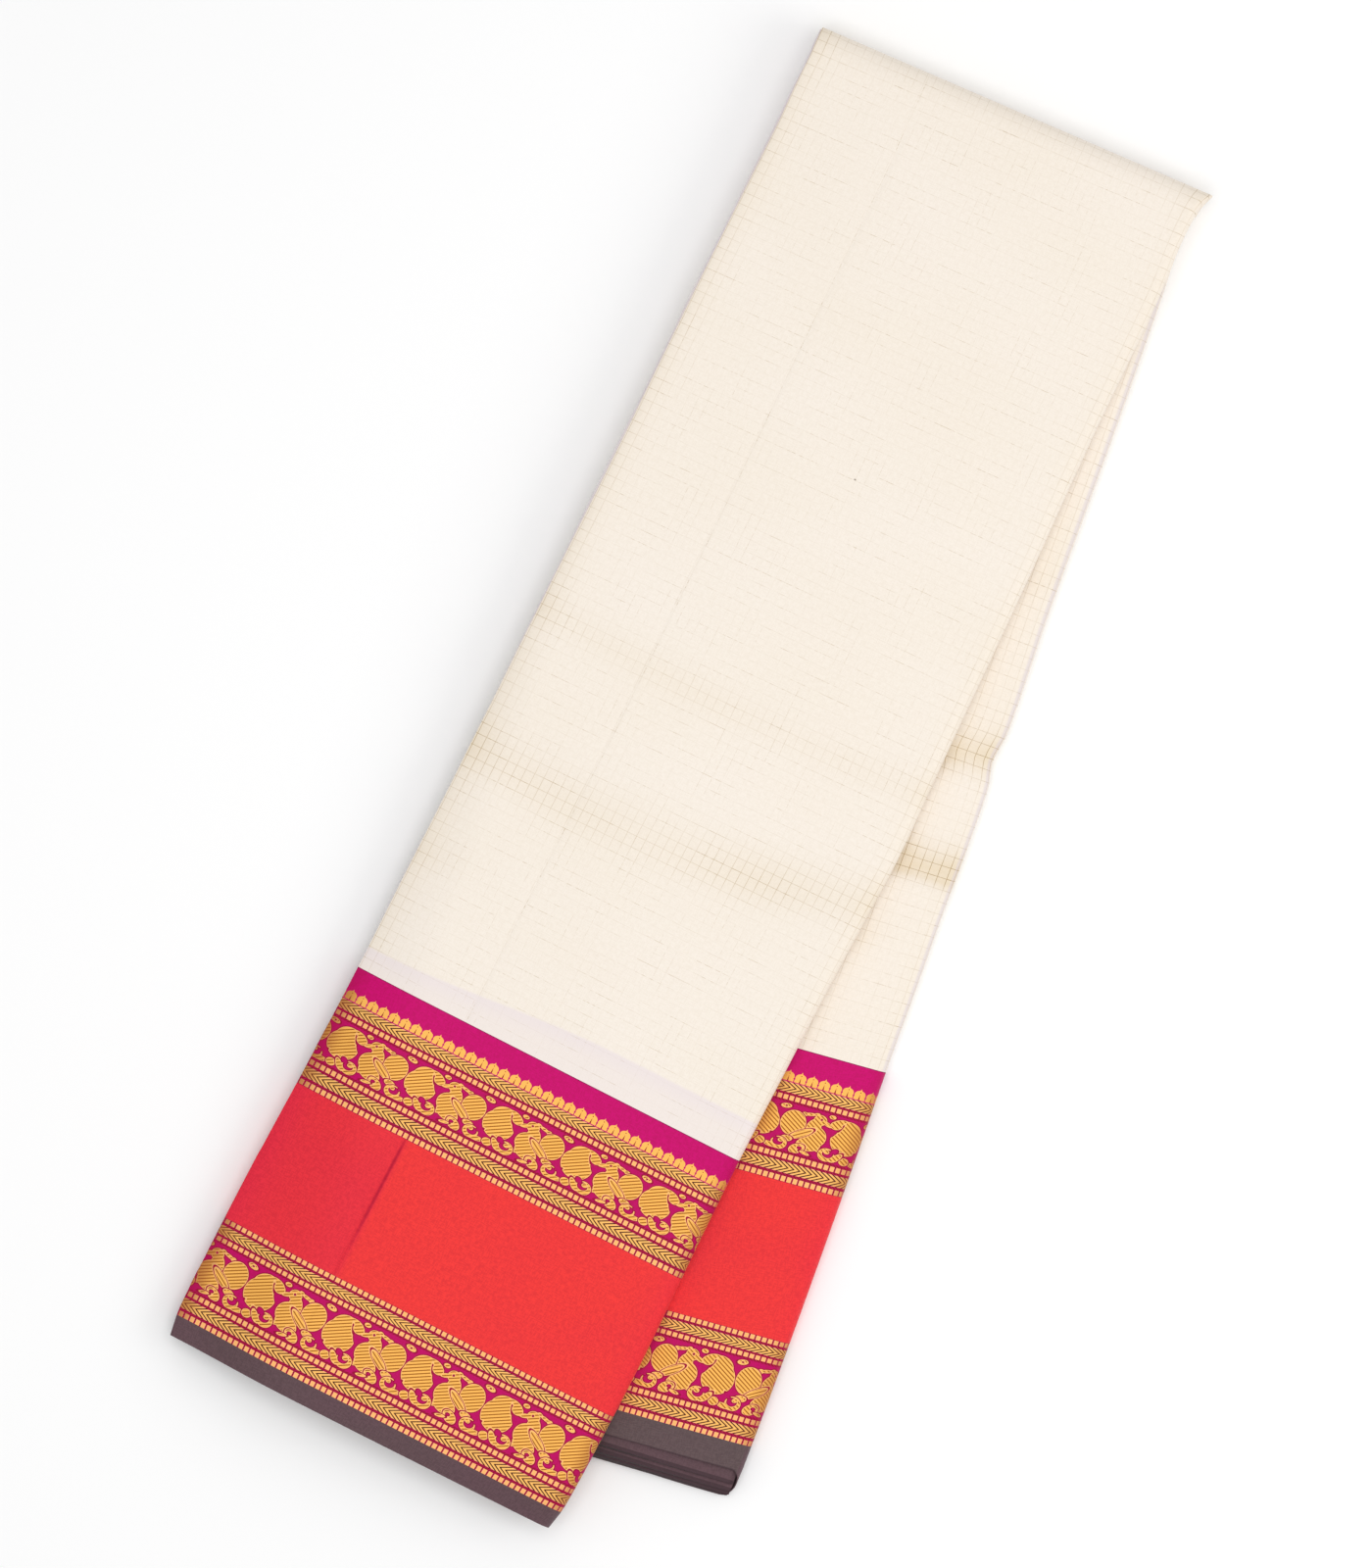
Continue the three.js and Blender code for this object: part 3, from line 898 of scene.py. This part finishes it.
FIGURE_START, LOWER_FIGURE_SHIFT = 1.8, 18.5  # where each band's row of figures begins
SQUARE_PITCH, SQUARE_WIDTH = 2.5, 1.8
NEAR_SQUARES, FAR_SQUARES = (1.9, 0.95), (10.2, 1.0)  # each row's middle and half height
CHEVRON_MIDDLE, CHEVRON_HALF, CHEVRON_RIM = 5.95, 2.1, 1.7
CHEVRON_PITCH, CHEVRON_LINE, CHEVRON_SLOPE = 2.5, 1.0, 2.0
ARCH_PITCH, ARCH_FOOT = 5.0, 8.3
DOME_HEIGHT, DOME_HALF, CUSP_HEIGHT = 4.1, 2.3, 4.8


def silk_material(name, roughness, sheen):
    """A silk finish with its weave's nodes, ready for a colour."""
    material = bpy.data.materials.new(name)
    material.use_nodes = True
    shader = material.node_tree.nodes["Principled BSDF"]
    shader.inputs["Roughness"].default_value = roughness
    shader.inputs["Sheen Weight"].default_value = sheen
    shader.inputs["Sheen Roughness"].default_value = 0.4
    shader.inputs["Specular IOR Level"].default_value = 0.12
    return material, shader, Weave(material.node_tree)


def cloth_place(weave):
    """The woven place: across the strip from its left edge, and along it from the join."""
    place = weave.node("ShaderNodeUVMap", uv_map="cloth").outputs["UV"]
    parts = weave.node("ShaderNodeSeparateXYZ", {"Vector": place}).outputs
    return place, Amount(weave, parts["X"]), Amount(weave, parts["Y"])


# the painted shade kept on the cloth's mesh, 0 to 1
def painted_shade_amount(weave):
    node = weave.node("ShaderNodeAttribute", attribute_name="painted_shade")
    return Amount(weave, node.outputs["Fac"])


def silk_grain(weave, place):
    """Uneven threads, thicker and thinner both across the cloth and along it."""
    threads = weave.mottle(place, (0.4, 2.2), 1.0) + weave.mottle(place, (2.2, 0.4), 1.0)
    return weave.ramp(threads, 0.8, 1.2)


def weave_bump(weave, shader, height, distance):
    fed = {"Strength": 0.5, "Distance": distance * MM, "Height": height}
    weave.feed(shader.inputs["Normal"], weave.node("ShaderNodeBump", fed).outputs["Normal"])


def check_lines(weave, settings, place, across, along, fold):
    """How strongly the fine gold threads show: broken patches, stronger where shade is painted,
    and a painted shade line along the long crease.
    """
    line_across = (across % (settings.check_across / MM)) < CHECK_LINE
    line_along = (along % (settings.check_along / MM)) < CHECK_LINE
    patch_across = weave.ramp(weave.mottle(place, (0.07, 0.045)), 0.46, 0.72)
    patch_along = weave.ramp(weave.mottle(place, (0.06, 0.12)), 0.42, 0.66)
    broken = weave.ramp(weave.mottle(place, (0.55, 0.7), 1.0), 0.4, 0.6)
    clear = fold.power(1.3)
    lines_across = line_across * (patch_across * broken * 0.26 + clear * 0.9 + 0.03)
    lines_along = line_along * (patch_along * broken * 0.36 + clear * 0.72 + 0.05)
    # painted shade: a faint broken line along the long crease, in the thread's colour
    pressed = (abs(across - LONG_CREASE_WOVEN) < 0.18) * (patch_along * broken * 0.4 + 0.05)
    return lines_across.most(lines_along).most(pressed).least(1.0)


def field_colour(weave, settings, place, across, along, fold):
    cloud = weave.mottle(place, (0.012, 0.02), 1.0)
    colour = weave.blend(cloud, settings.cream[:], PALE_CREAM)
    colour = weave.blend(silk_grain(weave, place) * 0.07, colour, THREAD)
    # painted shade: the cream goes darker and warmer in creases, on rolled edges and round the
    # fold
    colour = weave.blend(fold * (fold * 0.46 + 0.13), colour, CREAM_IN_SHADE)
    reach = weave.ramp(across, 0.0, 110.0) * SEEN_WIDENING + SEEN_REACH
    below = along * -1.0
    seen = weave.ramp(below, reach + 0.7, reach - 0.9) * (along < 0.0) * (across < OUTER_FACE_END)
    seen = seen * (weave.ramp(below, reach - 9.0, reach) * 0.45 + 0.55)
    colour = weave.blend(seen, colour, SEEN_THROUGH)
    # painted shade: a lavender tint down the middle of the folded right side
    side = weave.ramp(abs(across - SIDE_WOVEN), 2.2, 0.6)
    colour = weave.blend(side * 0.4, colour, LAVENDER)
    lines = check_lines(weave, settings, place, across, along, fold) * (1.0 - seen * 0.35)
    knot = weave.ramp(weave.oval(place, *KNOT, 0.0), 0.1, -0.1)
    colour = weave.blend(knot * 0.7, colour, KNOT_SHADE)
    return weave.blend(lines, colour, settings.thread[:]), lines


def field_silk(settings):
    material, shader, weave = silk_material("field_silk", 0.5, 0.12)
    place, across, along = cloth_place(weave)
    colour, lines = field_colour(weave, settings, place, across, along, painted_shade_amount(weave))
    weave.feed(shader.inputs["Base Color"], colour)
    slub = weave.mottle(place, (0.5, 2.6)) + weave.mottle(place, (2.6, 0.4))
    weave_bump(weave, shader, slub * 0.5 - lines * 0.4, 0.12)
    return material


def band_parts(along):
    """Which band of figures a point is nearest: its offset from the middle, and how far past."""
    lower = along > BAND_CHANGE
    middle = lower * (LOWER_BAND - UPPER_BAND) + UPPER_BAND
    half = lower * (LOWER_HALF - UPPER_HALF) + UPPER_HALF
    offset = along - middle
    past = abs(offset) - half
    # the strips beside the bands are not all woven to one height
    far = offset > 0.0
    height = far * (lower * 0.05 + 0.08) + lower * -0.07 + 1.0
    return lower, offset, half, past, past / height


def ground_colour(weave, settings, place, across, along, fold, past, strip_past):
    """The plain colours of the border, without its gold, with shade painted on them."""
    # painted shade: the red goes crimson left of the long crease, along it and wherever shade is
    # painted, with random cloudy patches as well; a painted dark shade line runs along the crease
    # itself
    left = weave.ramp(across, LONG_CREASE_WOVEN + 3.0, LONG_CREASE_WOVEN - 0.5)
    line = weave.ramp(abs(across - LONG_CREASE_WOVEN), 1.0, 0.1)
    line = line * weave.ramp(along, *CREASE_LINE_START) * weave.ramp(along, *CREASE_LINE_END)
    cloud = weave.mottle(place, (0.03, 0.03), 1.0) * 0.3
    shade_and_mottle = (left * 0.5 + fold * 0.8 + line * 0.5 + cloud).least(1.0)
    red = weave.blend(shade_and_mottle, settings.red[:], CRIMSON)
    red = weave.blend(line * 0.45, red, MAROON)
    magenta = settings.magenta[:]
    # magenta darker inside the bands of figures, and darker still with painted shade
    banded_and_shaded_magenta = weave.blend((past < 0.0) * 0.22 + weave.ramp(fold, 0.15, 0.5) * 0.35, magenta, MAROON)
    colour = weave.blend((along < UPPER_BAND).most(past < 0.0), red, banded_and_shaded_magenta)
    grain = silk_grain(weave, place)
    colour = weave.blend(grain * 0.24, colour, MAROON)
    hatch = ((across * 0.6 + along * 0.8) % 0.9) < 0.35
    strip = (past > 0.0) * (strip_past < SIDE_STRIP) * (along > STRIP_START)
    colour = weave.blend(strip, colour, weave.blend(hatch * 0.45, MAROON, magenta))
    selvedge = weave.blend(across > INNER_FACE_START, settings.selvedge[:], SELVEDGE_BACK)
    shade = weave.mottle(place, (0.02, 0.05), 1.0) * 0.5
    selvedge = weave.blend(weave.ramp(shade, 0.1, 0.4) * 0.25, selvedge, SELVEDGE_SHADE)
    selvedge = weave.blend(grain * 0.3, selvedge, SELVEDGE_GRAIN_AND_SHADOW)
    # painted shadow line along the lower foot's cut end, where the full shade is painted
    selvedge = weave.blend(weave.ramp(fold, 0.55, 1.0) * 0.7, selvedge, SELVEDGE_GRAIN_AND_SHADOW)
    return weave.blend(along > SELVEDGE_START, colour, selvedge)


def border_silk(settings):
    material, shader, weave = silk_material("border_silk", 0.55, 0.06)
    place, across, along = cloth_place(weave)
    fold = painted_shade_amount(weave)
    lower, offset, half, past, strip_past = band_parts(along)
    colour = ground_colour(weave, settings, place, across, along, fold, past, strip_past)
    gold_thread = settings.gold[:]

    # figures
    x = (across + lower * LOWER_FIGURE_SHIFT + FIGURE_START) % FIGURE_REPEAT
    fed = {"Place": weave.point(x, offset * FIGURE_HALF / half)}
    figures = weave.node("ShaderNodeGroup", fed, node_tree=figure_group())
    outside = Amount(weave, figures.outputs["Outside"])
    inside = (outside < 0.0) * (past < -0.2)
    colour = weave.blend((outside < 0.4) * (past < 0.0) * 0.8, colour, MAROON)
    colour = weave.blend(inside, colour, weave.blend(outside > -0.3, gold_thread, BRIGHT_GOLD))
    slant = Amount(weave, figures.outputs["Side"]) * math.sin(RIB_LEAN)
    ribs = ((x * slant + offset * math.cos(RIB_LEAN)) / RIB_PITCH) % 1.0
    ribs = (ribs < RIB_SHARE) * (outside < -RIB_EDGE) * inside
    colour = weave.blend(ribs * 0.92, colour, RIB)

    # squares, at both sides of the chevrons
    joined = (offset < 0.0) * (1.0 - lower)  # the side next to the join, which has arches instead
    cell = across % SQUARE_PITCH
    near_squares, far_squares = (
        abs(strip_past - row) < half_row for row, half_row in (NEAR_SQUARES, FAR_SQUARES)
    )
    squares = near_squares.most(far_squares * (1.0 - joined)) * (cell < SQUARE_WIDTH)
    centre = (abs(cell - SQUARE_WIDTH / 2) < 0.4) * 0.5
    colour = weave.blend(squares, colour, weave.blend(centre, PINK_GOLD, gold_thread))

    # chevrons
    rise = abs(strip_past - CHEVRON_MIDDLE)
    in_strip = rise < CHEVRON_HALF
    line = ((across - rise * CHEVRON_SLOPE) % CHEVRON_PITCH) < CHEVRON_LINE
    thread = weave.blend(rise > CHEVRON_RIM, YELLOW_GOLD, PINK_GOLD)
    colour = weave.blend(in_strip, colour, weave.blend(line, thread, CHEVRON_SHADE))

    # arches along the join
    bay = abs((across % ARCH_PITCH) - ARCH_PITCH / 2)
    height = strip_past - ARCH_FOOT
    dome = (1.0 - (height / DOME_HEIGHT).most(0.0).least(1.0).power(7.0)) * DOME_HALF
    nick = weave.ramp(abs(height - 1.5), 0.4, 0.1) * 0.2
    cusp = (CUSP_HEIGHT - height) * 0.4
    arch = joined * (height > 0.15) * (bay < (dome - nick).most(cusp.least(0.5)))
    slot = bay < (2.6 - height) * 0.13
    slot = slot.most((bay < 0.2) * (abs(height - 3.2) < 0.2))
    colour = weave.blend(arch, colour, weave.blend(slot, gold_thread, MAROON))

    # the dark line of the join itself
    colour = weave.blend((along < JOIN_WIDTH) * 0.7, colour, JOIN_SHADE)

    gold = inside.most(squares).most(in_strip).most(arch)
    # painted shade: the gold goes bronze where shade is painted, as on rolled edges
    colour = weave.blend(gold * weave.ramp(fold, 0.12, 0.5) * 0.72, colour, BRONZE)
    weave.feed(shader.inputs["Base Color"], colour)
    weave.feed(shader.inputs["Metallic"], gold * 0.18)
    slub = weave.mottle(place, (2.4, 1.1)) + weave.mottle(place, (0.9, 2.8))
    weave_bump(weave, shader, slub, 0.1)
    return material


def layered_silk(settings):
    """The inner layers' edges: the same colours, with no figures at this size."""
    material, shader, weave = silk_material("layered_silk", 0.6, 0.06)
    place, across, along = cloth_place(weave)
    past, strip_past = band_parts(along)[-2:]
    # painted shade: the inner layers get a fixed painted shade of 0.5 all over
    border = ground_colour(weave, settings, place, across, along, 0.5, past, strip_past)
    # painted shadow line at each leaf's cut end
    border = weave.blend((along > BORDER_DEPTH - 0.3) * 0.7, border, SELVEDGE_GRAIN_AND_SHADOW)
    cream = weave.blend(weave.mottle(place, (0.3, 0.02)), settings.layers[:], LAYER_SHADE)
    weave.feed(shader.inputs["Base Color"], weave.blend(along > 0.0, cream, border))
    return material


# ---------------------------------------------------------------- settings

VIEW_HEIGHT = 643.2 * MM  # what the view takes in from top to bottom
VIEW_CENTRE = Vector((-12.6, -2.0, 15.0)) * MM
VIEW_TURN = math.radians(23.15)
VIEW_DISTANCE = 3.0
SENSOR = 36.0
FLOOR_DROP = 0.1 * MM


def number_setting(name, description, default, **limits):
    return FloatProperty(name=name, description=description, default=default, **limits)


def colour_setting(name, description, default):
    return FloatVectorProperty(
        name=name, description=description, default=default, subtype="COLOR", min=0.0, max=1.0
    )


class SariClothSettings(bpy.types.PropertyGroup):
    """Sizes and colours of the cloth that a user may change"""

    cloth_wall: number_setting(
        "Cloth thickness",
        "Thickness of the outermost layer of silk",
        CLOTH_WALL * MM,
        min=0.0002,
        max=0.0004,
        unit="LENGTH",
    )
    columns: IntProperty(
        name="Columns",
        description="Columns of faces across the outer cloth",
        default=56,
        min=16,
        max=96,
    )
    check_across: number_setting(
        "Check across",
        "Distance from one gold thread of the check to the next, across the strip",
        CHECK_ACROSS * MM,
        min=0.001,
        unit="LENGTH",
    )
    check_along: number_setting(
        "Check along",
        "Distance from one gold thread of the check to the next, along the strip",
        CHECK_ALONG * MM,
        min=0.001,
        unit="LENGTH",
    )
    cream: colour_setting("Field", "Colour of the field's silk", CREAM)
    thread: colour_setting("Check thread", "Colour of the fine threads of the check", THREAD)
    layers: colour_setting(
        "Inner layers", "Colour of the field's inner layers at the open side", LAYER_CREAM
    )
    magenta: colour_setting(
        "Border ground", "Colour of the ground behind the woven figures", MAGENTA
    )
    red: colour_setting("Border middle", "Colour of the plain middle of the border", RED)
    gold: colour_setting("Gold thread", "Colour of the gold thread of the figures", GOLD)
    selvedge: colour_setting("Selvedge", "Colour of the dark edge of the cloth", SELVEDGE)


class SariStageSettings(bpy.types.PropertyGroup):
    """The floor and the lights"""

    floor_colour: colour_setting("Floor colour", "Colour of the plain floor", (0.98, 0.98, 0.98))
    overhead_power: number_setting(
        "Overhead light", "Power of the broad light over the sari", 11.0, min=0.0, unit="POWER"
    )
    side_power: number_setting(
        "Side light",
        "Power of the softer light from the side where the lower leg shows",
        3.5,
        min=0.0,
        unit="POWER",
    )
    world_strength: number_setting(
        "Room light", "Strength of the even light from all round", 0.66, min=0.0
    )
    view_height: number_setting(
        "View height",
        "What the view takes in from top to bottom",
        VIEW_HEIGHT,
        min=0.1,
        unit="LENGTH",
    )
    view_turn: number_setting(
        "View turn", "How far the view from above is turned", VIEW_TURN, subtype="ANGLE"
    )


# ---------------------------------------------------------------- operators


class SARI_OT_fold_layers(bpy.types.Operator):
    """Build the layers of silk folded inside both legs"""

    bl_idname = "sari.fold_layers"
    bl_label = "Fold the inner layers"

    def execute(self, context):
        obj = link_object(LAYERS, layers_mesh(LAYERS))
        obj.data.materials.append(layered_silk(context.scene.sari_cloth))
        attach(obj, BODY)
        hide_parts("hidden_layers")
        return {"FINISHED"}


class SARI_OT_lay_field(bpy.types.Operator):
    """Lay the checked cream field over both legs and round the fold"""

    bl_idname = "sari.lay_field"
    bl_label = "Lay the field"

    def execute(self, context):
        silk = field_silk(context.scene.sari_cloth)
        for name, node, first, last, spacing in (
            ("upper_field_cloth", "upper_field", UPPER_JOIN, TURN_START, LEG_SPACING),
            ("nose_cloth", "nose_fold", TURN_START, TURN_END, NOSE_SPACING),
            ("lower_field_cloth", "lower_field", TURN_END, LOWER_JOIN, LEG_SPACING),
        ):
            lay_cloth(name, node, first, last, spacing, silk)
        return {"FINISHED"}


class SARI_OT_lay_border(bpy.types.Operator):
    """Lay the woven border over the foot of each leg"""

    bl_idname = "sari.lay_border"
    bl_label = "Lay the border"

    def execute(self, context):
        silk = border_silk(context.scene.sari_cloth)
        for name, node, first, last, reach in (
            ("upper_border_cloth", "upper_border", 0.0, UPPER_JOIN, None),
            ("lower_border_cloth", "lower_border", LOWER_JOIN, PATH_END, foot_reach),
        ):
            cloth = lay_cloth(name, node, first, last, LEG_SPACING, silk, reach)
        return {"FINISHED"}


class SARI_OT_set_stage(bpy.types.Operator):
    """Set the floor, the soft lights and the camera"""

    bl_idname = "sari.set_stage"
    bl_label = "Set the stage"

    def execute(self, context):
        settings = context.scene.sari_stage
        scene = context.scene
        scene.view_settings.view_transform = "Standard"
        bm = bmesh.new()
        bmesh.ops.create_grid(bm, x_segments=1, y_segments=1, size=3.0)
        bmesh.ops.translate(bm, verts=bm.verts, vec=(0, 0, -FLOOR_DROP))
        mesh = mesh_from(bm, "floor")
        floor = link_object("floor", mesh)
        paper = bpy.data.materials.new("floor_paper")
        paper.use_nodes = True
        shader = paper.node_tree.nodes["Principled BSDF"]
        shader.inputs["Base Color"].default_value = (*settings.floor_colour, 1)
        shader.inputs["Roughness"].default_value = 0.9
        mesh.materials.append(paper)

        world = bpy.data.worlds.new("room")
        scene.world = world
        world.use_nodes = True
        room = world.node_tree.nodes["Background"]
        room.inputs["Color"].default_value = (1, 1, 1, 1)
        room.inputs["Strength"].default_value = settings.world_strength

        for name, power, size, place in (
            ("overhead_light", settings.overhead_power, 1.3, Vector((0.0, -0.05, 1.8))),
            ("side_light", settings.side_power, 0.8, Vector((1.1, 0.2, 0.8))),
        ):
            light = bpy.data.lights.new(name, "AREA")
            light.energy = power
            light.size = size
            lamp = bpy.data.objects.new(name, light)
            lamp.location = place
            lamp.rotation_euler = (-place).to_track_quat("-Z", "Y").to_euler()
            scene.collection.objects.link(lamp)

        camera = bpy.data.cameras.new("camera")
        camera.sensor_width = SENSOR
        camera.lens = SENSOR * VIEW_DISTANCE / settings.view_height
        camera.clip_end = 20.0
        viewer = bpy.data.objects.new("camera", camera)
        viewer.location = VIEW_CENTRE + Vector((0, 0, VIEW_DISTANCE))
        viewer.rotation_euler = (0, 0, settings.view_turn)
        scene.collection.objects.link(viewer)
        scene.camera = viewer
        return {"FINISHED"}


STEPS = [SARI_OT_set_stage, SARI_OT_fold_layers, SARI_OT_lay_field, SARI_OT_lay_border]


class SARI_PT_panel(bpy.types.Panel):
    """Lists the steps that build the sari"""

    bl_idname = "SARI_PT_panel"
    bl_label = "Folded silk sari"
    bl_space_type = "VIEW_3D"
    bl_region_type = "UI"
    bl_category = "Sari"

    def draw(self, context):
        layout = self.layout
        for settings in (context.scene.sari_cloth, context.scene.sari_stage):
            for name in settings.__annotations__:
                layout.prop(settings, name)
        for step in STEPS:
            layout.operator(step.bl_idname)


CLASSES = [SariClothSettings, SariStageSettings, *STEPS, SARI_PT_panel]


def register():
    for cls in CLASSES:
        bpy.utils.register_class(cls)
    bpy.types.Scene.sari_cloth = PointerProperty(type=SariClothSettings)
    bpy.types.Scene.sari_stage = PointerProperty(type=SariStageSettings)


def unregister():
    del bpy.types.Scene.sari_stage
    del bpy.types.Scene.sari_cloth
    for cls in reversed(CLASSES):
        bpy.utils.unregister_class(cls)


def main():
    register()
    bpy.ops.sari.set_stage()
    bpy.ops.sari.fold_layers()
    bpy.ops.sari.lay_field()
    bpy.ops.sari.lay_border()


if __name__ == "__main__":
    main()
